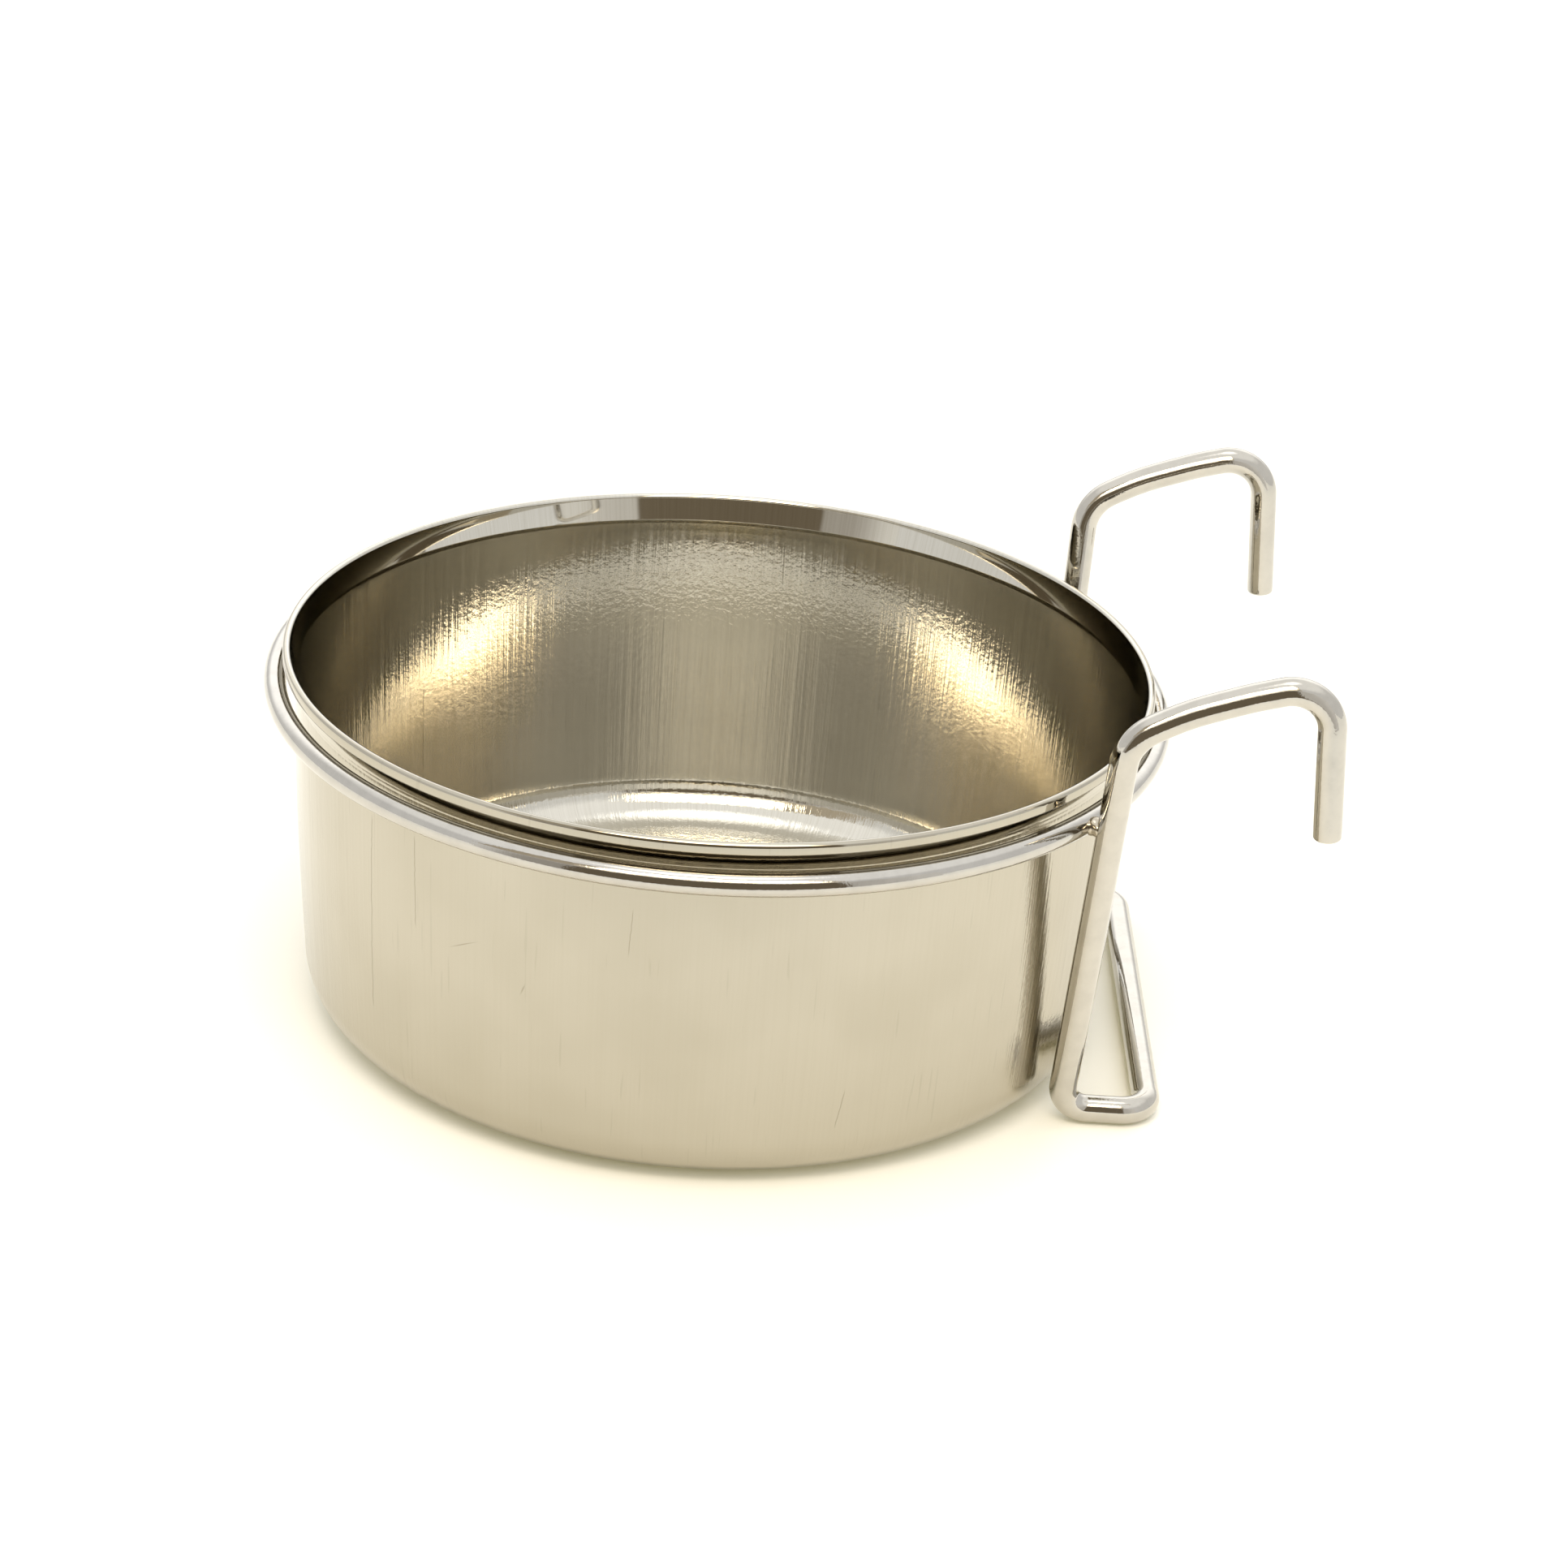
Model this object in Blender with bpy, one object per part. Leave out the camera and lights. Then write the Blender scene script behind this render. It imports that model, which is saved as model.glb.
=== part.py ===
"""Round stainless steel coop cup in a hook-on wire holder.

Metres, +Z up. The origin is the centre of the cup's flat base, on the surface the part stands on.
+X points from the cup to the cage that the two hooks hang on. The part is mirror-symmetric about the XZ plane.
"""
import math

import bmesh
import bpy
from mathutils import Vector

MM = 0.001

# Cup: a drawn sheet cup with a rolled rim.
CUP_HEIGHT = 55.4 * MM
SHEET = 0.5 * MM
RIM_RADIUS = 63.5 * MM          # outside of the rolled rim
MOUTH_RADIUS = 62.35 * MM       # inside of the rolled rim
NECK_RADIUS = 61.75 * MM        # outside of the wall where the ring holds it
BASE_CORNER = 7.9 * MM          # outside radius of the bottom corner
WALL_FOOT_RADIUS = 59.7 * MM    # outside of the wall where the corner starts
WALL_BULGE = 0.35 * MM          # how far the wall stands outside a straight cone, at mid height
ROLL_HEIGHT = 1.7 * MM          # height of the rolled rim
NECK_DROP = 4.65 * MM           # how far under the top the outer wall meets the flare
FLARE_DROP = 3.9 * MM           # how far under the top the inner wall meets the flare
CUP_STEPS = 88

# Ring: a closed hoop of round wire.
RING_RADIUS = 64.5 * MM
RING_WIRE = 1.65 * MM
RING_HEIGHT = 50.0 * MM
RING_STEPS = 88
RING_SIDES = 12

# Hanger: one bent round wire, given for the side at +Y. The other side is its mirror image.
HANGER_WIRE = 2.0 * MM
HOOK_HALF_SPAN = 44.0 * MM      # from the middle to a hook
FOOT_HALF_SPAN = 33.9 * MM      # from the middle to a foot: the legs lean together
CROSSBAR_X = 65.45 * MM
FOOT_X = 52.65 * MM
LEG_TOP = (55.35 * MM, 65.05 * MM)      # x and z of the bend from leg to arm
ARM_LOW = (63.0 * MM, 69.45 * MM)       # the bowed arm has two soft bends
ARM_HIGH = (71.6 * MM, 72.5 * MM)
ARM_END = (82.0 * MM, 75.35 * MM)       # x and z of the bend from arm to drop
ARM_BEND = 38.0 * MM
TIP = (83.9 * MM, 52.2 * MM)
TIP_BEND = 5.7 * MM
LEG_BEND = 7.0 * MM
FOOT_BEND = 3.8 * MM
CROSSBAR_BEND = 4.2 * MM
TIP_ROUND = 0.5 * MM            # rounding of the cut ends
BEND_STEP = math.radians(15)    # turn between two stations in a bend
STRAIGHT_STEP = 8.0 * MM
HANGER_SIDES_RESOLUTION = 5     # gives a 14-sided wire

# Weld beads, in the corner under the ring, against each leg.
BEAD_RADIUS = 0.8 * MM
BEAD_DROP = 0.93                # how far under the ring's centre line the bead is, as a share of their gap
CLEARANCE = 0.3 * MM


def clear_scene():
    for old in list(bpy.data.objects):
        bpy.data.objects.remove(old, do_unlink=True)


def steel(name, colour, roughness):
    material = bpy.data.materials.new(name)
    material.use_nodes = True
    shader = material.node_tree.nodes["Principled BSDF"]
    shader.inputs["Base Color"].default_value = (*colour, 1.0)
    shader.inputs["Metallic"].default_value = 1.0
    shader.inputs["Roughness"].default_value = roughness
    return material


def add_object(name, data, material, parent):
    made = bpy.data.objects.new(name, data)
    bpy.context.scene.collection.objects.link(made)
    made.data.materials.append(material)
    made.parent = parent
    return made


def arc(centre, radius, start, end, count):
    """Points on a circle in the (radius, height) plane, from start to end in degrees, both included."""
    turns = [math.radians(start + (end - start) * i / count) for i in range(count + 1)]
    return [(centre[0] + radius * math.cos(a), centre[1] + radius * math.sin(a)) for a in turns]


def wall_line(foot, top, bulge, count):
    """Points up a wall that stands a little outside the straight line between its ends."""
    points = []
    for i in range(1, count):
        t = i / count
        swell = bulge * 4 * t * (1 - t)
        points.append((foot[0] + (top[0] - foot[0]) * t + swell, foot[1] + (top[1] - foot[1]) * t))
    return points


def cup_profile():
    """The cup's section from the inside centre, up the inner wall, over the rim and down the outer wall."""
    corner_centre = (WALL_FOOT_RADIUS - BASE_CORNER, BASE_CORNER)
    outer_corner = arc(corner_centre, BASE_CORNER, 0, -90, 6)
    inner_corner = arc(corner_centre, BASE_CORNER - SHEET, -90, 0, 6)
    neck = (NECK_RADIUS, CUP_HEIGHT - NECK_DROP)
    inner_neck = (NECK_RADIUS - SHEET, CUP_HEIGHT - FLARE_DROP)
    roll_radius = (RIM_RADIUS - MOUTH_RADIUS) / 2
    roll_centre = (RIM_RADIUS - roll_radius, CUP_HEIGHT - roll_radius)
    roll_bottom = CUP_HEIGHT - ROLL_HEIGHT
    rolled_top = arc(roll_centre, roll_radius, 180, 0, 8)
    edge = [(RIM_RADIUS, roll_bottom + SHEET / 3), (RIM_RADIUS - SHEET / 3, roll_bottom),
            (RIM_RADIUS - SHEET, roll_bottom)]
    slot = arc(roll_centre, roll_radius - SHEET, 0, 180, 4)
    inner = [(0.0, SHEET)] + inner_corner
    inner += wall_line(inner_corner[-1], inner_neck, WALL_BULGE, 6) + [inner_neck]
    outer = [neck] + wall_line(neck, outer_corner[0], WALL_BULGE, 6)
    outer += outer_corner + [(0.0, 0.0)]
    return inner + rolled_top + edge + slot + outer


def make_cup(material, parent):
    mesh = bpy.data.meshes.new("cup")
    points = [(radius, 0.0, height) for radius, height in cup_profile()]
    mesh.from_pydata(points, [(i, i + 1) for i in range(len(points) - 1)], [])
    cup = add_object("cup", mesh, material, parent)
    turn = cup.modifiers.new("turn", "SCREW")
    turn.axis = "Z"
    turn.angle = math.tau
    turn.steps = CUP_STEPS
    turn.render_steps = CUP_STEPS
    turn.use_merge_vertices = True
    turn.merge_threshold = 0.01 * MM
    turn.use_smooth_shade = True
    return cup


def make_ring(material, parent):
    bm = bmesh.new()
    section = bmesh.ops.create_circle(bm, segments=RING_SIDES, radius=RING_WIRE)["verts"]
    for vert in section:
        vert.co = Vector((RING_RADIUS + vert.co.x, 0.0, vert.co.y))
    bmesh.ops.spin(bm, geom=section + list(bm.edges), axis=(0, 0, 1), cent=(0, 0, 0), angle=math.tau,
                   steps=RING_STEPS, use_merge=True, use_duplicate=False)
    bmesh.ops.recalc_face_normals(bm, faces=bm.faces)
    mesh = bpy.data.meshes.new("ring")
    bm.to_mesh(mesh)
    bm.free()
    mesh.shade_smooth()
    ring = add_object("ring", mesh, material, parent)
    ring.location = (0, 0, RING_HEIGHT)
    return ring


def rounded_route(corners, radii):
    """A route through the corners, with each inner corner replaced by an arc of its radius."""
    route = [corners[0]]
    for before, corner, after, radius in zip(corners, corners[1:], corners[2:], radii):
        back = (before - corner).normalized()
        ahead = (after - corner).normalized()
        half = back.angle(ahead) / 2
        start = corner + back * radius / math.tan(half)
        centre = corner + (back + ahead).normalized() * radius / math.sin(half)
        spoke = start - centre
        turn = math.pi - 2 * half
        count = max(1, math.ceil(turn / BEND_STEP))
        for i in range(count + 1):
            angle = turn * i / count
            route.append(centre + spoke * math.cos(angle) - back * radius * math.sin(angle))
    return route + [corners[-1]]


def with_stations(route, step):
    """The route with long straight stretches divided into steps."""
    points = [route[0]]
    for a, b in zip(route, route[1:]):
        count = max(1, math.ceil((b - a).length / step))
        points += [a.lerp(b, i / count) for i in range(1, count + 1)]
    return points


def hanger_route():
    """Centre line of the bent wire, from the tip of the left hook to the tip of the right one."""
    half = [Vector((x, HOOK_HALF_SPAN, z)) for x, z in (TIP, ARM_END, ARM_HIGH, ARM_LOW, LEG_TOP)]
    half += [Vector((x, FOOT_HALF_SPAN, HANGER_WIRE)) for x in (FOOT_X, CROSSBAR_X)]
    radii = [TIP_BEND, ARM_BEND, ARM_BEND, LEG_BEND, FOOT_BEND, CROSSBAR_BEND]
    mirrored = [Vector((p.x, -p.y, p.z)) for p in reversed(half)]
    return with_stations(rounded_route(half + mirrored, radii + radii[::-1]), STRAIGHT_STEP)


def make_hanger(material, parent):
    route = hanger_route()
    first, last = route[0], route[-1]
    shoulder_a = first + (route[1] - first).normalized() * TIP_ROUND
    shoulder_b = last + (route[-2] - last).normalized() * TIP_ROUND
    stations = [first, shoulder_a] + route[1:-1] + [shoulder_b, last]
    curve = bpy.data.curves.new("hanger_wire", "CURVE")
    curve.dimensions = "3D"
    curve.bevel_depth = HANGER_WIRE
    curve.bevel_resolution = HANGER_SIDES_RESOLUTION
    curve.use_fill_caps = True
    spline = curve.splines.new("POLY")
    spline.points.add(len(stations) - 1)
    for point, place in zip(spline.points, stations):
        point.co = (*place, 1.0)
        point.radius = 1.0
    for end in (spline.points[0], spline.points[-1]):
        end.radius = 1.0 - TIP_ROUND / HANGER_WIRE
    return add_object("hanger_wire", curve, material, parent)


def leg_at(height, side):
    """Centre of a leg at a height."""
    foot = Vector((FOOT_X, side * FOOT_HALF_SPAN, HANGER_WIRE))
    top = Vector((LEG_TOP[0], side * HOOK_HALF_SPAN, LEG_TOP[1]))
    return foot.lerp(top, (height - foot.z) / (top.z - foot.z))


def make_weld(name, side, material, parent):
    """A bead in the corner between the ring's underside and the leg's inner side."""
    ring_gap = RING_WIRE + CLEARANCE + BEAD_RADIUS
    leg_gap = HANGER_WIRE + CLEARANCE + BEAD_RADIUS
    height = RING_HEIGHT - BEAD_DROP * ring_gap
    leg = leg_at(height, side)
    inward = Vector((-leg.x, -leg.y, 0)).normalized()
    place = leg + inward * leg_gap
    bm = bmesh.new()
    bmesh.ops.create_icosphere(bm, subdivisions=2, radius=BEAD_RADIUS)
    mesh = bpy.data.meshes.new(name)
    bm.to_mesh(mesh)
    bm.free()
    mesh.shade_smooth()
    bead = add_object(name, mesh, material, parent)
    bead.location = place
    return bead


def main():
    clear_scene()
    holder = bpy.data.objects.new("holder", None)
    cup_axis = bpy.data.objects.new("cup_axis", None)
    for empty in (holder, cup_axis):
        bpy.context.scene.collection.objects.link(empty)
    cup_axis.parent = holder
    make_cup(steel("cup_steel", (0.74, 0.71, 0.66), 0.28), cup_axis)
    make_ring(steel("ring_steel", (0.80, 0.79, 0.76), 0.14), holder)
    make_hanger(steel("hanger_steel", (0.80, 0.79, 0.76), 0.14), holder)
    make_weld("weld_left", 1, steel("weld_left_steel", (0.62, 0.60, 0.57), 0.35), holder)
    make_weld("weld_right", -1, steel("weld_right_steel", (0.62, 0.60, 0.57), 0.35), holder)


main()
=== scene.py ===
"""Looks for the coop cup in its hook-on wire holder: finer meshes, steel, floor, light and camera."""
import math
import random

import bmesh
import bpy
from mathutils import Matrix, Vector


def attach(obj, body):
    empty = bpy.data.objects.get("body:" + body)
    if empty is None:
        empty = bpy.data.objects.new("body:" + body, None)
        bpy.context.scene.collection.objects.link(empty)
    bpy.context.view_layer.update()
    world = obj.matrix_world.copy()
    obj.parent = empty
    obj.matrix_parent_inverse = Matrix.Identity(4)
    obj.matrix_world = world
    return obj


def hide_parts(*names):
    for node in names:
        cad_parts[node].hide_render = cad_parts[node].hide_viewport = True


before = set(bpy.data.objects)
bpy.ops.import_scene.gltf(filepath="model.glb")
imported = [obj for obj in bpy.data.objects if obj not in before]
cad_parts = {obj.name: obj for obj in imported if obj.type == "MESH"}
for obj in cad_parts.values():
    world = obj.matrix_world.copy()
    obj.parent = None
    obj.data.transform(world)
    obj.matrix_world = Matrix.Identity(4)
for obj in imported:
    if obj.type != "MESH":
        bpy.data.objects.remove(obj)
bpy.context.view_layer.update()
MM = 0.001

# Cup section, as in the CAD.
CUP_HEIGHT = 55.4 * MM
SHEET = 0.5 * MM
RIM_RADIUS = 63.5 * MM          # outside of the rolled rim
MOUTH_RADIUS = 62.35 * MM       # inside of the rolled rim
NECK_RADIUS = 61.75 * MM        # outside of the wall where the ring holds it
BASE_CORNER = 7.9 * MM          # outside radius of the bottom corner
WALL_FOOT_RADIUS = 59.7 * MM    # outside of the wall where the corner starts
WALL_BULGE = 0.35 * MM          # how far the wall stands outside a straight cone, at mid height
ROLL_HEIGHT = 1.7 * MM          # height of the rolled rim
FLARE_DROP = 3.9 * MM           # how far under the top the inner wall meets the flare
NECK_DROP = 4.65 * MM           # how far under the top the outer wall meets the flare

# Finer than in the CAD: bends where the flare starts and at the hem's edge, and points round and up the cup.
FLARE_BEND = 1.6 * MM
NECK_BEND = 1.2 * MM
HEM_BENDS = (0.26 * MM, 0.2 * MM)
BASE_POINTS = (0, 4, 9, 14, 20, 26, 32, 38, 44, 49)     # radii in mm
CUP_TURNS = 320
CORNER_STEPS = 16
WALL_STEPS = 22
ROLL_STEPS = 20
SLOT_STEPS = 4
SECTION_STEP = math.radians(6)

# Ring and hanger wire, as in the CAD. The hanger is given for the side at +Y.
RING_RADIUS = 64.5 * MM
RING_WIRE = 1.65 * MM
RING_HEIGHT = 50.0 * MM
HANGER_WIRE = 2.0 * MM
HOOK_HALF_SPAN = 44.0 * MM
FOOT_HALF_SPAN = 33.9 * MM
CROSSBAR_X = 65.45 * MM
FOOT_X = 52.65 * MM
LEG_TOP = (55.35 * MM, 65.05 * MM)
ARM_LOW = (63.0 * MM, 69.45 * MM)
ARM_HIGH = (71.6 * MM, 72.5 * MM)
ARM_END = (82.0 * MM, 75.35 * MM)
TIP = (83.9 * MM, 52.2 * MM)
BENDS = [5.7 * MM, 38.0 * MM, 38.0 * MM, 7.0 * MM, 3.8 * MM, 4.2 * MM]     # from the hook to the crossbar
RING_TURNS = 384
WIRE_SIDES = 40
WIRE_STEP = math.radians(4)
STRAIGHT_STEP = 2.0 * MM
END_ROUND = 0.5 * MM            # rounding of the wire's cut ends
END_STEPS = 4

# Weld beads: half sizes across the gap, along the ring and up the leg, with lumps and a waist in the gap.
WELD_SIZE = (1.75 * MM, 1.9 * MM, 1.75 * MM)
WELD_TURNS = 56
WELD_ROWS = 36
WELD_SEED = 40
LUMP_WAVES = 9                  # waves that add up to the lumps
LUMP_PITCH = (1.5, 5.0)         # least and most phase from the bead's middle to its side, in radians
LUMP_DEPTH = 0.14               # as a share of the bead, as the waist's are
WAIST_DEPTH = 0.16
WAIST_WIDTH = 0.35

# Steel colours. A pair is mixed by soft stains.
CUP_INSIDE = ((0.607, 0.583, 0.517), (0.635, 0.611, 0.545))
CUP_OUTSIDE = ((0.457, 0.425, 0.350), (0.487, 0.455, 0.380))
HAIR_COLOUR = (0.44, 0.40, 0.32)
SCRATCH_COLOUR = (0.20, 0.17, 0.12)
RING_COLOUR = (0.540, 0.519, 0.478)
HANGER_COLOUR = (0.555, 0.530, 0.478)
WELD_COLOUR = (0.52, 0.47, 0.38)

# The materials work in millimetres. A noise is its scale, detail and roughness.
WIRE_ROUGHNESS = 0.035
WELD_ROUGHNESS = 0.16
SMEAR = (0.35, 3.0, 0.6)
SMEAR_DARK_RANGE = (0.35, 0.7)  # noise values between which a smear darkens the wire
SMEAR_DARKENING = 0.93
SMEAR_ROUGH_RANGE = (0.45, 0.8)
SMEAR_ROUGHNESS = 0.10
SPECK = (2.4, 2.0, 0.5)
SPECK_RELIEF = 0.5
WIRE_BUMP = (0.08, 0.2 * MM)    # strength and distance

# Cup surface. Hairlines, grain and streaks run up the wall in three widths, laid out on a cylinder.
WRAP_RADIUS = 60.0
HAIR = (2.6, 3.0, 0.7)
HAIR_STRETCH = 0.008
GRAIN = (1.4, 2.0, 0.5)
GRAIN_STRETCH = 0.012
STREAK = (0.45, 2.0, 0.5)
STREAK_STRETCH = 0.006
PEBBLE = (1.3, 3.0, 0.55)       # orange peel
STAIN = (0.045, 2.0, 0.5)
STAIN_RANGE = (0.35, 0.65)      # noise values between which a colour or roughness changes
HAIR_RANGE = (0.35, 0.7)
GRAIN_RANGE = (0.4, 0.7)
WALL_START = (50.0, 56.0)       # radii between which the base's surface turns into the wall's
POLISH_START = (50.9, 51.5)     # heights between which the brushed wall turns into the polished flare
HAIR_DARKENING = 0.22
BRUSHING = 0.55                 # how far the hairlines stretch a highlight
CUP_ROUGHNESS = 0.015
OUTSIDE_ROUGHNESS = 0.05        # added outside
HAIR_ROUGHNESS = 0.045
GRAIN_ROUGHNESS = 0.04
POLISHED_ROUGHNESS = 0.04
HAIR_RELIEF = 0.30
GRAIN_RELIEF = 0.36
STREAK_RELIEF = 0.60
WALL_PEEL = (42.0, 48.0, 0.32, 0.04)    # low z, high z, and the orange peel's relief at each
BASE_PEEL = 2.4
CUP_BUMP = (0.16, 0.4 * MM)     # strength and distance

# Short nicks all over, and a few long scratches.
NICK = (1.0, 0.0, 0.5)
NICK_STRETCH = (2.2, 2.2, 0.10)
NICK_START = (0.755, 0.81)
NICK_STRENGTH = 0.22
MARK_DARKENING = 0.5
MM_PER_DEGREE = 1.07            # along the wall
SCRATCH_FADE = 1.5              # at each end
SCRATCH_CORE = 0.3              # share of the width that is fully dark
WAVER = (0.35, 2.0, 0.5)
WAVER_SIZE = 0.5
# Degrees at the top end, low z, high z, lean in mm per mm, width, outside or not.
SCRATCHES = [(-139.0, 14.0, 45.5, 0.022, 0.14, True), (-130.6, 31.0, 46.0, -0.02, 0.11, True),
             (-119.5, 30.4, 33.4, 2.0, 0.24, True), (-112.8, 26.6, 29.2, 0.4, 0.16, True),
             (-70.0, 9.0, 16.0, 0.15, 0.10, True), (-99.0, 36.0, 44.0, 0.05, 0.08, True),
             (81.3, 41.0, 49.0, 0.015, 0.15, False), (140.0, 12.0, 30.0, -0.03, 0.12, False)]

# Light of the tent, by direction: a ramp is a pair of angles in degrees, and the turn is from -Y.
SIDE_LEVEL = 0.92
BACK_LEVEL = 1.85
BACK_TURN = (118.0, 158.0)
BACK_HEIGHT = (6.0, 20.0)
OVERHEAD = [(34.0, 50.0, 1.25), (72.0, 84.0, 2.6)]      # low angle, high angle, level over them
BACKDROP_LEVEL = 1.2            # the least that the camera itself sees
TENT_COLOUR = (1.0, 0.995, 0.985)
FLOOR_HALF = 3.0
FLOOR_DROP = 0.1 * MM           # keeps the floor off the faces that stand on it
FLOOR_COLOUR = (0.95, 0.95, 0.95)
FLOOR_GLOW = (0.115, 0.10, 0.03)
FLOOR_ROUGHNESS = 0.9

# The front of the tent, a plane at CARD_Y: a bright lamp card over a dark slot.
# Each card is (low x, high x, low z, high z).
CARD_Y = -0.2
LAMP_CARD = (-0.270, 0.120, 0.166, 0.400)
LAMP_COLOUR = (9.8, 8.6, 6.7)
LAMP_FOOT = (168.0, 250.0, 0.12, 1.0)   # low z, high z, and the lamp's level at each, in mm
LAMP_HEAD = (320.0, 400.0, 1.0, 0.25)
LAMP_SIDES = (92.0, 120.0, 1.0, 0.0)    # the same with the distance from the middle
LAMP_LEAST = 0.06
SLOT_CARD = (-0.250, 0.250, 0.004, 0.160)
SLOT_COLOUR = (0.200, 0.162, 0.112)
FLANK_COLOUR = (0.92, 0.90, 0.86)
# Low x, high x, and the flank's share at each, in mm. The slot is dark where all the shares are 0.
FLANKS = [(-113.0, -107.0, 0.42, 0.0), (-238.0, -148.0, 0.58, 0.0),
          (105.0, 111.0, 0.0, 0.75), (126.0, 216.0, 0.0, 0.25)]

# Camera, with its angles in degrees.
CAMERA_PLACE = (-1.33 * MM, -513.36 * MM, 277.52 * MM)
CAMERA_YAW = 1.321787
CAMERA_PITCH = 25.321635
CAMERA_ROLL = 4.131005
CAMERA_LENS = 87.98
CAMERA_SENSOR = 36.0
CAMERA_NEAR = 10.0 * MM

MERGE_DISTANCE = 1e-7
GLOSSY_BOUNCES = 12             # light crosses the cup's mirror-like inside many times


# ---------------------------------------------------------------- meshes

def new_object(name, mesh, material):
    made = bpy.data.objects.new(name, mesh)
    bpy.context.scene.collection.objects.link(made)
    mesh.materials.append(material)
    return made


def mesh_from(name, verts, faces):
    """A smooth mesh whose faces point out."""
    mesh = bpy.data.meshes.new(name)
    mesh.from_pydata([tuple(v) for v in verts], [], faces)
    mesh.validate()
    bm = bmesh.new()
    bm.from_mesh(mesh)
    bmesh.ops.remove_doubles(bm, verts=bm.verts, dist=MERGE_DISTANCE)
    bmesh.ops.recalc_face_normals(bm, faces=bm.faces)
    bm.to_mesh(mesh)
    bm.free()
    mesh.shade_smooth()
    return mesh


def rounded_line(corners, radii, step, fewest):
    """The line through the corners, with each inner corner replaced by an arc of its radius."""
    line = [corners[0]]
    for before, corner, after, radius in zip(corners, corners[1:], corners[2:], radii):
        back = (before - corner).normalized()
        ahead = (after - corner).normalized()
        half = back.angle(ahead) / 2
        start = corner + back * radius / math.tan(half)
        centre = corner + (back + ahead).normalized() * radius / math.sin(half)
        spoke = start - centre
        turn = math.pi - 2 * half
        count = max(fewest, math.ceil(turn / step))
        for i in range(count + 1):
            angle = turn * i / count
            line.append(centre + spoke * math.cos(angle) - back * radius * math.sin(angle))
    return line + [corners[-1]]


def arc(centre, radius, start, end, count):
    """Points on a circle in the (radius, height) plane, from start to end in degrees, both included."""
    turns = [math.radians(start + (end - start) * i / count) for i in range(count + 1)]
    return [(centre[0] + radius * math.cos(a), centre[1] + radius * math.sin(a)) for a in turns]


def wall_line(foot, top):
    """Points up a wall that stands a little outside the straight line between its ends."""
    points = []
    for i in range(1, WALL_STEPS):
        t = i / WALL_STEPS
        swell = WALL_BULGE * 4 * t * (1 - t)
        points.append((foot[0] + (top[0] - foot[0]) * t + swell, foot[1] + (top[1] - foot[1]) * t))
    return points


def bent_section(points, radii):
    """The points of a stretch of the cup's section, with its inner corners rounded."""
    return rounded_line([Vector(point) for point in points], radii, SECTION_STEP, 2)


def cup_section():
    """The cup's section from the inside centre up, over the rim, down the outside and in to the centre."""
    floor = [(radius * MM, SHEET) for radius in BASE_POINTS]
    underside = [(radius, 0.0) for radius, _ in reversed(floor)]
    corner_centre = (WALL_FOOT_RADIUS - BASE_CORNER, BASE_CORNER)
    inner_corner = arc(corner_centre, BASE_CORNER - SHEET, -90, 0, CORNER_STEPS)
    outer_corner = arc(corner_centre, BASE_CORNER, 0, -90, CORNER_STEPS)
    neck = (NECK_RADIUS, CUP_HEIGHT - NECK_DROP)
    inner_neck = (NECK_RADIUS - SHEET, CUP_HEIGHT - FLARE_DROP)
    inner_wall = wall_line(inner_corner[-1], inner_neck)
    outer_wall = wall_line(neck, outer_corner[0])

    roll_radius = (RIM_RADIUS - MOUTH_RADIUS) / 2
    roll_centre = (RIM_RADIUS - roll_radius, CUP_HEIGHT - roll_radius)
    roll_bottom = CUP_HEIGHT - ROLL_HEIGHT
    rolled_top = arc(roll_centre, roll_radius, 180, 0, ROLL_STEPS)
    slot = arc(roll_centre, roll_radius - SHEET, 0, 180, SLOT_STEPS)
    edge = [(RIM_RADIUS, roll_bottom), (RIM_RADIUS - SHEET, roll_bottom)]

    flare_in = bent_section([inner_wall[-1], inner_neck, rolled_top[0]], [FLARE_BEND])
    hem = bent_section([rolled_top[-1], *edge, slot[0]], HEM_BENDS)
    flare_out = bent_section([slot[-1], neck, outer_wall[0]], [NECK_BEND])
    inside = floor + inner_corner + inner_wall[:-1] + flare_in[:-1]
    outside = flare_out[1:-1] + outer_wall + outer_corner + underside
    return inside + rolled_top + hem[1:-1] + slot + outside


def turned(name, section, turns, material):
    """A body of revolution about Z from a section whose ends are on the axis."""
    inner = section[1:-1]
    rows = len(inner)
    verts = [(0, 0, section[0][1])]
    for i in range(turns):
        angle = math.tau * i / turns
        verts += [(radius * math.cos(angle), radius * math.sin(angle), z) for radius, z in inner]
    verts.append((0, 0, section[-1][1]))
    last = len(verts) - 1
    faces = []
    for i in range(turns):
        a, b = 1 + i * rows, 1 + ((i + 1) % turns) * rows
        faces += [(a + k, b + k, b + k + 1, a + k + 1) for k in range(rows - 1)]
        faces += [(0, b, a), (last, a + rows - 1, b + rows - 1)]
    return new_object(name, mesh_from(name, verts, faces), material)


def tube_faces(first, rows, sides, closed=False):
    """Faces between neighbouring rows of points, each row a loop with this many sides."""
    faces = []
    for i in range(rows if closed else rows - 1):
        a, b = first + i * sides, first + (i + 1) % rows * sides
        for k in range(sides):
            m = (k + 1) % sides
            faces.append((a + k, a + m, b + m, b + k))
    return faces


def hoop(name, material):
    """The ring: a closed round wire."""
    verts = []
    for i in range(RING_TURNS):
        turn = math.tau * i / RING_TURNS
        for k in range(WIRE_SIDES):
            angle = math.tau * k / WIRE_SIDES
            radius = RING_RADIUS + RING_WIRE * math.cos(angle)
            height = RING_HEIGHT + RING_WIRE * math.sin(angle)
            verts.append((radius * math.cos(turn), radius * math.sin(turn), height))
    faces = tube_faces(0, RING_TURNS, WIRE_SIDES, closed=True)
    return new_object(name, mesh_from(name, verts, faces), material)


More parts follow.
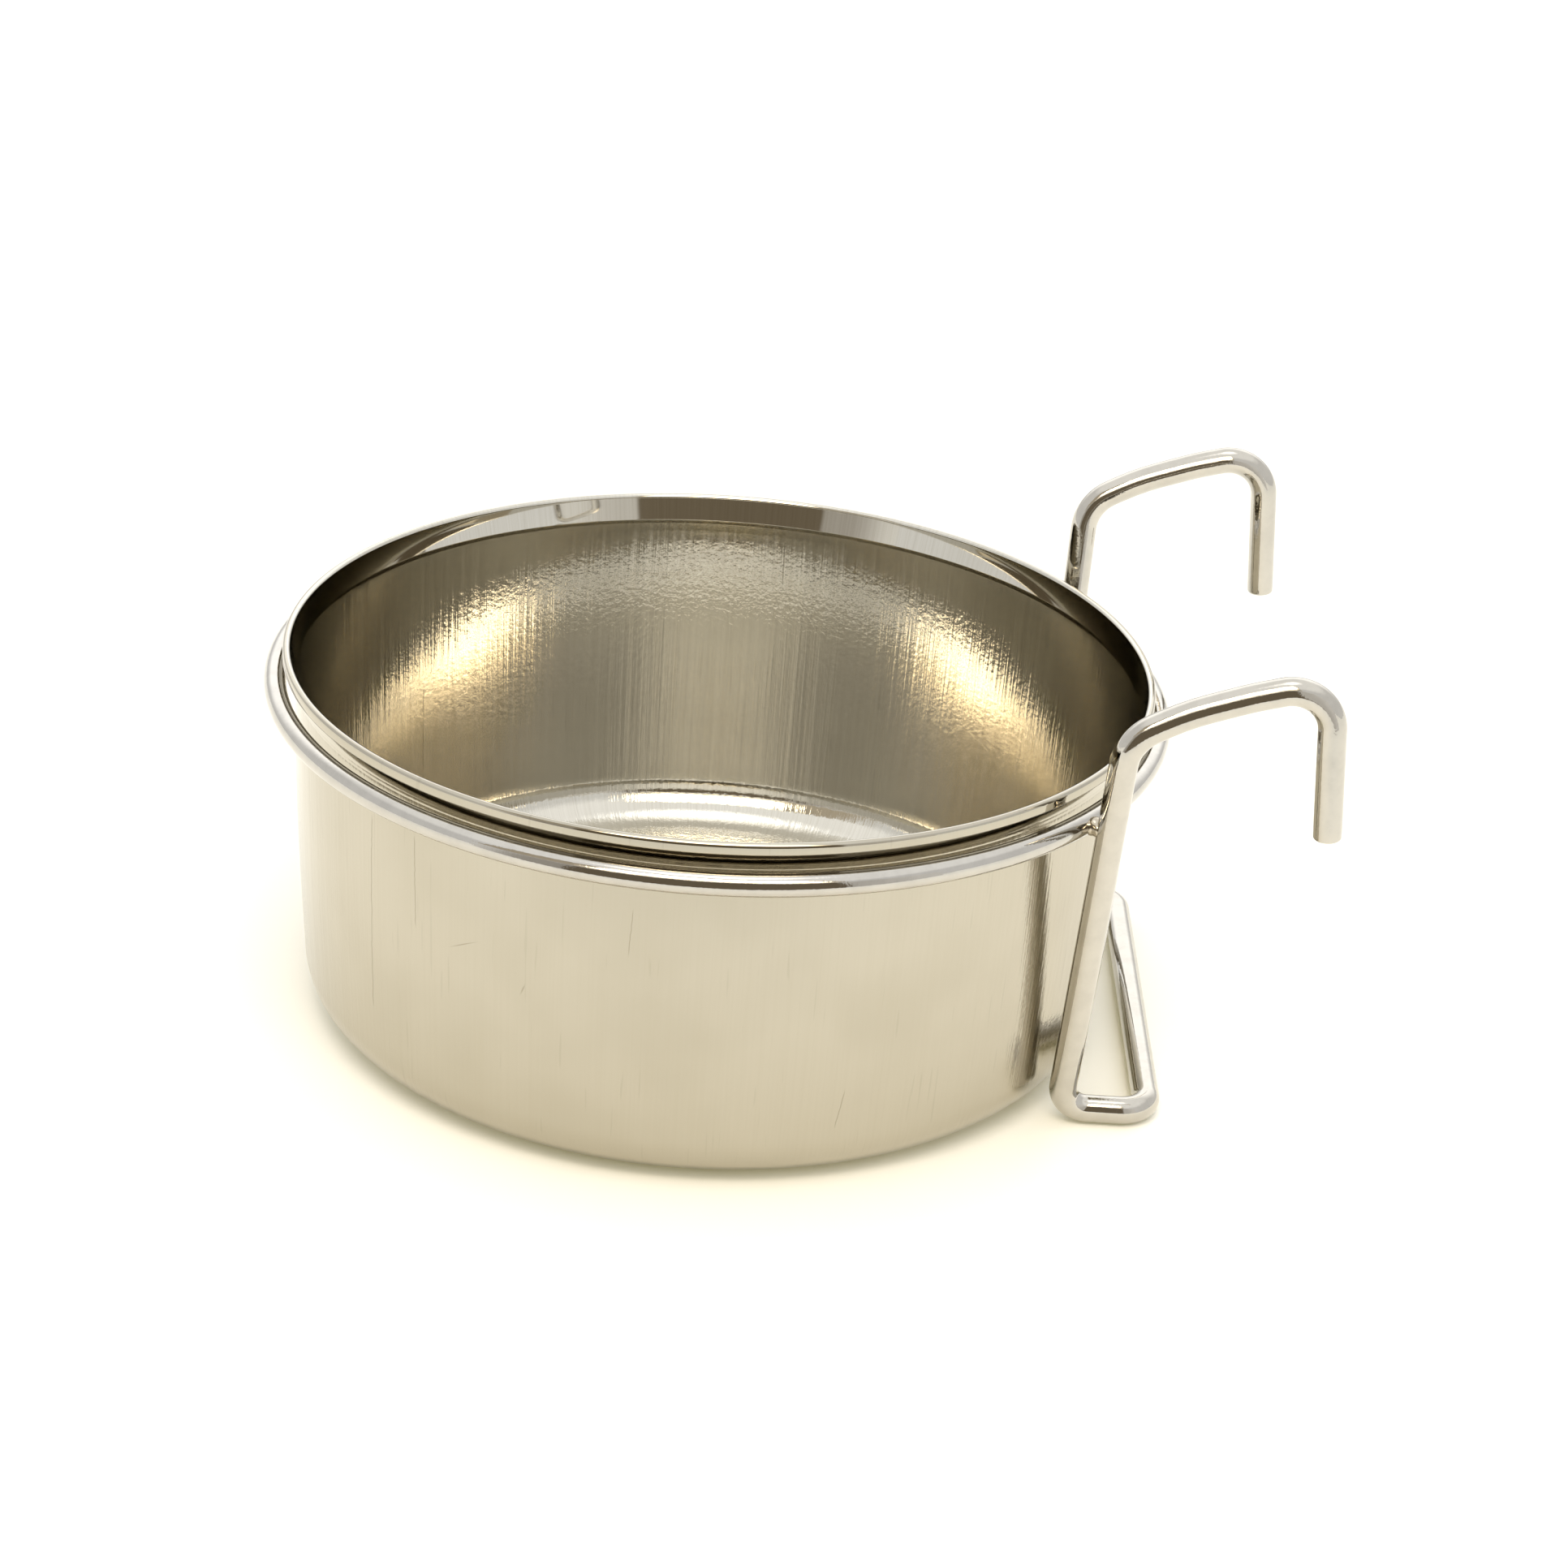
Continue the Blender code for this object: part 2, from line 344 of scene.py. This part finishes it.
def hanger_route():
    """Centre line of the bent wire, from the tip of the left hook to the tip of the right one."""
    half = [Vector((x, HOOK_HALF_SPAN, z)) for x, z in (TIP, ARM_END, ARM_HIGH, ARM_LOW, LEG_TOP)]
    half += [Vector((x, FOOT_HALF_SPAN, HANGER_WIRE)) for x in (FOOT_X, CROSSBAR_X)]
    mirrored = [Vector((p.x, -p.y, p.z)) for p in reversed(half)]
    route = rounded_line(half + mirrored, BENDS + BENDS[::-1], WIRE_STEP, 3)
    points = [route[0]]
    for a, b in zip(route, route[1:]):
        count = max(1, math.ceil((b - a).length / STRAIGHT_STEP))
        points += [a.lerp(b, i / count) for i in range(1, count + 1)]
    return points


def wire_directions(route):
    """At each point of the route, its tangent and a normal that turns no more than the wire does."""
    last = len(route) - 1
    tangents = [(route[min(i + 1, last)] - route[max(i - 1, 0)]).normalized() for i in range(len(route))]
    normals = [tangents[0].orthogonal().normalized()]
    for before, tangent in zip(tangents, tangents[1:]):
        normal = (before.rotation_difference(tangent) @ normals[-1]).normalized()
        normals.append((normal - tangent * normal.dot(tangent)).normalized())
    return tangents, normals


def cut_end(point, outward, normal, radius):
    """Stations of a cut end, from the shoulder where its rounding starts to its flat face."""
    stations = []
    for i in range(END_STEPS + 1):
        angle = math.radians(90 * i / END_STEPS)
        centre = point + outward * (END_ROUND * math.sin(angle) - END_ROUND)
        stations.append((centre, normal, radius - END_ROUND + END_ROUND * math.cos(angle)))
    return stations


def swept(name, route, radius, material):
    """Round wire along a route, with cut ends whose edges are slightly rounded."""
    tangents, normals = wire_directions(route)
    start = cut_end(route[0], -tangents[0], normals[0], radius)[::-1]
    end = cut_end(route[-1], tangents[-1], normals[-1], radius)
    middle = [(point, normal, radius) for point, normal in zip(route[1:-1], normals[1:-1])]
    along = [tangents[0]] * len(start) + tangents[1:-1] + [tangents[-1]] * len(end)
    stations = start + middle + end
    verts = []
    for (centre, normal, reach), tangent in zip(stations, along):
        side = tangent.cross(normal)
        for k in range(WIRE_SIDES):
            angle = math.tau * k / WIRE_SIDES
            verts.append(centre + normal * reach * math.cos(angle) + side * reach * math.sin(angle))
    faces = tube_faces(0, len(stations), WIRE_SIDES)
    first, last = len(verts), len(verts) + 1
    verts += [stations[0][0], stations[-1][0]]
    base = (len(stations) - 1) * WIRE_SIDES
    for k in range(WIRE_SIDES):
        m = (k + 1) % WIRE_SIDES
        faces += [(first, m, k), (last, base + k, base + m)]
    return new_object(name, mesh_from(name, verts, faces), material)


def leg_at(height, side):
    """Centre of a leg at a height."""
    foot = Vector((FOOT_X, side * FOOT_HALF_SPAN, HANGER_WIRE))
    top = Vector((LEG_TOP[0], side * HOOK_HALF_SPAN, LEG_TOP[1]))
    return foot.lerp(top, (height - foot.z) / (top.z - foot.z))


def weld_bead(name, side, material):
    """A lumpy bead that fills the gap between the ring and a leg, drawn out along both wires."""
    rng = random.Random(WELD_SEED + side)
    waves = []
    for _ in range(LUMP_WAVES):
        waves.append([rng.uniform(*LUMP_PITCH) for _ in range(3)] + [rng.uniform(0, math.tau)])
    leg = leg_at(RING_HEIGHT, side)
    outward = Vector((leg.x, leg.y, 0)).normalized()
    along = Vector((-outward.y, outward.x, 0))
    up = (leg_at(LEG_TOP[1], side) - leg).normalized()
    ring_side = outward * RING_RADIUS + Vector((0, 0, RING_HEIGHT))
    centre = ring_side.lerp(leg, 0.5)
    verts = []
    for i in range(WELD_ROWS + 1):
        tilt = math.pi * i / WELD_ROWS
        for k in range(WELD_TURNS if 0 < i < WELD_ROWS else 1):
            spin = math.tau * k / WELD_TURNS
            d = Vector((math.sin(tilt) * math.cos(spin), math.sin(tilt) * math.sin(spin), math.cos(tilt)))
            bump = sum(math.sin(a * d.x + b * d.y + c * d.z + shift) for a, b, c, shift in waves) / len(waves)
            waist = 1.0 - WAIST_DEPTH * math.exp(-(d.x / WAIST_WIDTH) ** 2)
            reach = outward * d.x * WELD_SIZE[0] + along * d.y * WELD_SIZE[1] + up * d.z * WELD_SIZE[2]
            verts.append(centre + reach * (1.0 + LUMP_DEPTH * bump) * waist)
    last = len(verts) - 1
    base = last - WELD_TURNS
    faces = tube_faces(1, WELD_ROWS - 1, WELD_TURNS)
    for k in range(WELD_TURNS):
        m = (k + 1) % WELD_TURNS
        faces += [(0, 1 + k, 1 + m), (last, base + k, base + m)]
    return new_object(name, mesh_from(name, verts, faces), material)


# ---------------------------------------------------------------- materials

class Graph:
    """Writes shader nodes in a few words. A value is a number, a colour or another node's socket."""

    def __init__(self, tree):
        self.tree = tree

    def node(self, kind, **settings):
        made = self.tree.nodes.new(kind)
        for key, value in settings.items():
            setattr(made, key, value)
        return made

    def put(self, socket, value):
        if isinstance(value, bpy.types.NodeSocket):
            self.tree.links.new(value, socket)
        else:
            socket.default_value = (*value, 1.0) if isinstance(value, tuple) else value

    def fill(self, made, *values):
        for socket, value in zip(made.inputs, values):
            self.put(socket, value)
        return made.outputs[0]

    def math(self, operation, *values):
        return self.fill(self.node("ShaderNodeMath", operation=operation), *values)

    def plus(self, *values):
        total = values[0]
        for value in values[1:]:
            total = self.math("ADD", total, value)
        return total

    def minus(self, a, b):
        return self.math("SUBTRACT", a, b)

    def times(self, a, b):
        return self.math("MULTIPLY", a, b)

    def ramp(self, value, low, high, out_low=0.0, out_high=1.0):
        made = self.node("ShaderNodeMapRange", interpolation_type="SMOOTHSTEP")
        return self.fill(made, value, low, high, out_low, out_high)

    def mix(self, factor, a, b):
        made = self.node("ShaderNodeMix", data_type="RGBA")
        for socket, value in ((made.inputs[0], factor), (made.inputs[6], a), (made.inputs[7], b)):
            self.put(socket, value)
        return made.outputs[2]

    def split(self, vector):
        made = self.node("ShaderNodeSeparateXYZ")
        self.put(made.inputs[0], vector)
        return list(made.outputs)

    def noise(self, place, scale, detail, roughness):
        made = self.node("ShaderNodeTexNoise")
        self.put(made.inputs["Vector"], self.fill(self.node("ShaderNodeCombineXYZ"), *place))
        made.inputs["Scale"].default_value = scale
        made.inputs["Detail"].default_value = detail
        made.inputs["Roughness"].default_value = roughness
        return made.outputs["Fac"]

    def place(self):
        """x, y and z in millimetres in the object's own frame."""
        coordinates = self.node("ShaderNodeTexCoord").outputs["Object"]
        return [self.times(axis, 1000.0) for axis in self.split(coordinates)]


def metal(name):
    material = bpy.data.materials.new(name)
    material.use_nodes = True
    shader = material.node_tree.nodes["Principled BSDF"]
    shader.inputs["Metallic"].default_value = 1.0
    return material, shader, Graph(material.node_tree)


def add_bump(graph, shader, height, strength, distance):
    bump = graph.node("ShaderNodeBump")
    bump.inputs["Strength"].default_value = strength
    bump.inputs["Distance"].default_value = distance
    graph.put(bump.inputs["Height"], height)
    graph.put(shader.inputs["Normal"], bump.outputs[0])


def radial_brushing(graph, shader):
    """Hairlines that run up the wall: they stretch a highlight around the axis."""
    tangent = graph.node("ShaderNodeTangent", direction_type="RADIAL", axis="Z")
    graph.put(shader.inputs["Tangent"], tangent.outputs[0])
    shader.inputs["Anisotropic"].default_value = BRUSHING


def scratch_mask(graph, angle, z, outside):
    """Where the few long scratches are. They waver a little."""
    turn = graph.times(graph.math("DEGREES", angle), MM_PER_DEGREE)
    waver = graph.times(graph.minus(graph.noise((z, 0.0, 0.0), *WAVER), 0.5), WAVER_SIZE)
    inside = graph.minus(1.0, outside)
    total = 0.0
    for degrees, low, high, lean, width, is_outside in SCRATCHES:
        leaning = graph.times(graph.minus(z, high), lean)
        across = graph.minus(graph.minus(turn, degrees * MM_PER_DEGREE), leaning)
        distance = graph.math("ABSOLUTE", graph.plus(across, waver))
        line = graph.ramp(distance, width * SCRATCH_CORE, width, 1.0, 0.0)
        low_end = graph.ramp(z, low, low + SCRATCH_FADE)
        high_end = graph.ramp(z, high - SCRATCH_FADE, high, 1.0, 0.0)
        side = outside if is_outside else inside
        mask = graph.times(graph.times(line, graph.times(low_end, high_end)), side)
        total = graph.math("MAXIMUM", total, mask)
    return total


def cup_material():
    """Brushed wall, pebbled base, polished flare and rim, with stains and scratches."""
    material, shader, graph = metal("cup_brushed_steel")
    x, y, z = graph.place()
    angle = graph.math("ARCTAN2", y, x)
    radius = graph.math("SQRT", graph.plus(graph.times(x, x), graph.times(y, y)))
    up_wall = graph.ramp(radius, *WALL_START)
    normal_x, normal_y, _ = graph.split(graph.node("ShaderNodeNewGeometry").outputs["Normal"])
    outside = graph.ramp(graph.plus(graph.times(normal_x, x), graph.times(normal_y, y)), -1.0, 1.0)
    polished = graph.ramp(z, *POLISH_START)
    brushed = graph.minus(1.0, polished)

    wall_x = graph.times(graph.math("COSINE", angle), WRAP_RADIUS)
    wall_y = graph.times(graph.math("SINE", angle), WRAP_RADIUS)
    hair = graph.noise((wall_x, wall_y, graph.times(z, HAIR_STRETCH)), *HAIR)
    grain = graph.noise((wall_x, wall_y, graph.times(z, GRAIN_STRETCH)), *GRAIN)
    streak = graph.noise((wall_x, wall_y, graph.times(z, STREAK_STRETCH)), *STREAK)
    pebble = graph.noise((x, y, z), *PEBBLE)
    stain = graph.ramp(graph.noise((x, y, z), *STAIN), *STAIN_RANGE)
    nick_place = [graph.times(axis, stretch) for axis, stretch in zip((wall_x, wall_y, z), NICK_STRETCH)]
    nicks = graph.times(graph.ramp(graph.noise(nick_place, *NICK), *NICK_START), NICK_STRENGTH)
    marks = graph.math("MAXIMUM", scratch_mask(graph, angle, z, outside), nicks)

    colour = graph.mix(outside, graph.mix(stain, *CUP_INSIDE), graph.mix(stain, *CUP_OUTSIDE))
    colour = graph.mix(graph.times(graph.ramp(hair, *HAIR_RANGE), HAIR_DARKENING), colour, HAIR_COLOUR)
    colour = graph.mix(graph.times(marks, MARK_DARKENING), colour, SCRATCH_COLOUR)
    graph.put(shader.inputs["Base Color"], colour)

    rough = graph.math("MULTIPLY_ADD", outside, OUTSIDE_ROUGHNESS, CUP_ROUGHNESS)
    rough = graph.plus(rough, graph.times(hair, HAIR_ROUGHNESS))
    rough = graph.plus(rough, graph.times(graph.ramp(grain, *GRAIN_RANGE), GRAIN_ROUGHNESS))
    rough = graph.plus(graph.times(rough, brushed), graph.times(polished, POLISHED_ROUGHNESS))
    graph.put(shader.inputs["Roughness"], rough)

    wall = graph.plus(graph.times(hair, HAIR_RELIEF), graph.times(grain, GRAIN_RELIEF),
                      graph.times(streak, STREAK_RELIEF), graph.times(pebble, graph.ramp(z, *WALL_PEEL)))
    base = graph.times(pebble, BASE_PEEL)
    height = graph.plus(graph.times(wall, up_wall), graph.times(base, graph.minus(1.0, up_wall)))
    add_bump(graph, shader, graph.times(height, brushed), *CUP_BUMP)
    radial_brushing(graph, shader)
    return material


def wire_material(name, colour, base_roughness, shift):
    """Bright wire with smears and fine specks. The shift gives each wire smears of its own."""
    material, shader, graph = metal(name)
    x, y, z = graph.place()
    place = (graph.plus(x, shift), y, z)
    smear = graph.noise(place, *SMEAR)
    speck = graph.noise(place, *SPECK)
    darker = tuple(channel * SMEAR_DARKENING for channel in colour)
    colour = graph.mix(graph.ramp(smear, *SMEAR_DARK_RANGE), colour, darker)
    graph.put(shader.inputs["Base Color"], colour)
    rough = graph.plus(base_roughness, graph.times(graph.ramp(smear, *SMEAR_ROUGH_RANGE), SMEAR_ROUGHNESS))
    graph.put(shader.inputs["Roughness"], rough)
    add_bump(graph, shader, graph.plus(graph.times(speck, SPECK_RELIEF), smear), *WIRE_BUMP)
    return material


# ---------------------------------------------------------------- pieces

cup = turned("cup_body", cup_section(), CUP_TURNS, cup_material())
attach(cup, "cup")
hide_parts("cup")

ring = hoop("ring_wire", wire_material("ring_polished_steel", RING_COLOUR, WIRE_ROUGHNESS, 0.0))
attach(ring, "holder")
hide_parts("ring")

hanger_steel = wire_material("hanger_polished_steel", HANGER_COLOUR, WIRE_ROUGHNESS, 31.0)
hanger = swept("hanger_bent_wire", hanger_route(), HANGER_WIRE, hanger_steel)
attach(hanger, "holder")
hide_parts("hanger_wire")

weld_steel = wire_material("weld_blued_steel", WELD_COLOUR, WELD_ROUGHNESS, 77.0)
for label, side in (("left", 1), ("right", -1)):
    bead = weld_bead("weld_bead_" + label, side, weld_steel)
    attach(bead, "holder")
    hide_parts("weld_" + label)


# ---------------------------------------------------------------- stage

def stage_floor():
    """A white floor that glows a little, warm in the shadows."""
    corners = [(x * FLOOR_HALF, y * FLOOR_HALF, 0) for x, y in ((-1, -1), (1, -1), (1, 1), (-1, 1))]
    mesh = bpy.data.meshes.new("floor")
    mesh.from_pydata(corners, [], [(0, 1, 2, 3)])
    material = bpy.data.materials.new("floor_white")
    material.use_nodes = True
    shader = material.node_tree.nodes["Principled BSDF"]
    shader.inputs["Base Color"].default_value = (*FLOOR_COLOUR, 1)
    shader.inputs["Roughness"].default_value = FLOOR_ROUGHNESS
    shader.inputs["Emission Color"].default_value = (*FLOOR_GLOW, 1)
    shader.inputs["Emission Strength"].default_value = 1.0
    floor = new_object("floor", mesh, material)
    floor.location.z = -FLOOR_DROP


def world_light():
    """A white tent: brighter behind the object and overhead."""
    world = bpy.data.worlds.new("studio")
    bpy.context.scene.world = world
    world.use_nodes = True
    graph = Graph(world.node_tree)
    background = world.node_tree.nodes["Background"]
    x, y, z = graph.split(graph.node("ShaderNodeTexCoord").outputs["Generated"])
    degrees = graph.math("DEGREES", graph.math("ARCTAN2", x, graph.times(y, -1.0)))
    turn = graph.math("ABSOLUTE", degrees)
    height = graph.math("DEGREES", graph.math("ARCSINE", z))

    behind = graph.times(graph.ramp(turn, *BACK_TURN), graph.ramp(height, *BACK_HEIGHT))
    level = graph.math("MULTIPLY_ADD", behind, BACK_LEVEL - SIDE_LEVEL, SIDE_LEVEL)
    for low, high, over_level in OVERHEAD:
        over = graph.ramp(height, low, high)
        under = graph.times(level, graph.minus(1.0, over))
        level = graph.math("MULTIPLY_ADD", over, over_level, under)
    backdrop = graph.times(graph.node("ShaderNodeLightPath").outputs["Is Camera Ray"], BACKDROP_LEVEL)
    graph.put(background.inputs["Strength"], graph.math("MAXIMUM", level, backdrop))
    background.inputs["Color"].default_value = (*TENT_COLOUR, 1)


def lamp_fade(graph, glow):
    """The lamp is brightest in the middle of its height and dims towards its sides."""
    x, _, z = graph.place()
    upright = graph.times(graph.ramp(z, *LAMP_FOOT), graph.ramp(z, *LAMP_HEAD))
    level = graph.times(upright, graph.ramp(graph.math("ABSOLUTE", x), *LAMP_SIDES))
    graph.put(glow.inputs["Color"], LAMP_COLOUR)
    graph.put(glow.inputs["Strength"], graph.math("MAXIMUM", level, LAMP_LEAST))


def slot_fade(graph, glow):
    """The slot is dark in the middle, lighter beside it and as bright as the tent at its ends."""
    x, _, _ = graph.place()
    flank = graph.plus(*(graph.ramp(x, *ramp) for ramp in FLANKS))
    graph.put(glow.inputs["Color"], graph.mix(flank, SLOT_COLOUR, FLANK_COLOUR))


def card(name, box, fade, lights_floor):
    """An upright glowing card in the plane CARD_Y. The camera doesn't see it, and the steel reflects it."""
    low_x, high_x, low_z, high_z = box
    mesh = bpy.data.meshes.new(name)
    corners = ((low_x, low_z), (low_x, high_z), (high_x, high_z), (high_x, low_z))
    mesh.from_pydata([(x, CARD_Y, z) for x, z in corners], [], [(0, 1, 2, 3)])
    material = bpy.data.materials.new(name)
    material.use_nodes = True
    tree = material.node_tree
    tree.nodes.clear()
    glow = tree.nodes.new("ShaderNodeEmission")
    fade(Graph(tree), glow)
    tree.links.new(glow.outputs[0], tree.nodes.new("ShaderNodeOutputMaterial").inputs["Surface"])
    made = new_object(name, mesh, material)
    made.visible_camera = False
    made.visible_diffuse = lights_floor
    made.visible_shadow = False


def make_camera():
    data = bpy.data.cameras.new("camera")
    data.sensor_width = CAMERA_SENSOR
    data.lens = CAMERA_LENS
    data.clip_start = CAMERA_NEAR
    camera = bpy.data.objects.new("camera", data)
    bpy.context.scene.collection.objects.link(camera)
    heading = Matrix.Rotation(math.radians(-CAMERA_YAW), 4, "Z")
    tilt = Matrix.Rotation(math.radians(90 - CAMERA_PITCH), 4, "X")
    roll = Matrix.Rotation(math.radians(CAMERA_ROLL), 4, "Z")
    camera.matrix_world = Matrix.Translation(CAMERA_PLACE) @ heading @ tilt @ roll
    bpy.context.scene.camera = camera


stage_floor()
world_light()
card("lamp_card", LAMP_CARD, lamp_fade, True)
card("slot_card", SLOT_CARD, slot_fade, False)
make_camera()
bpy.context.scene.view_settings.view_transform = "Standard"
bpy.context.scene.cycles.glossy_bounces = GLOSSY_BOUNCES
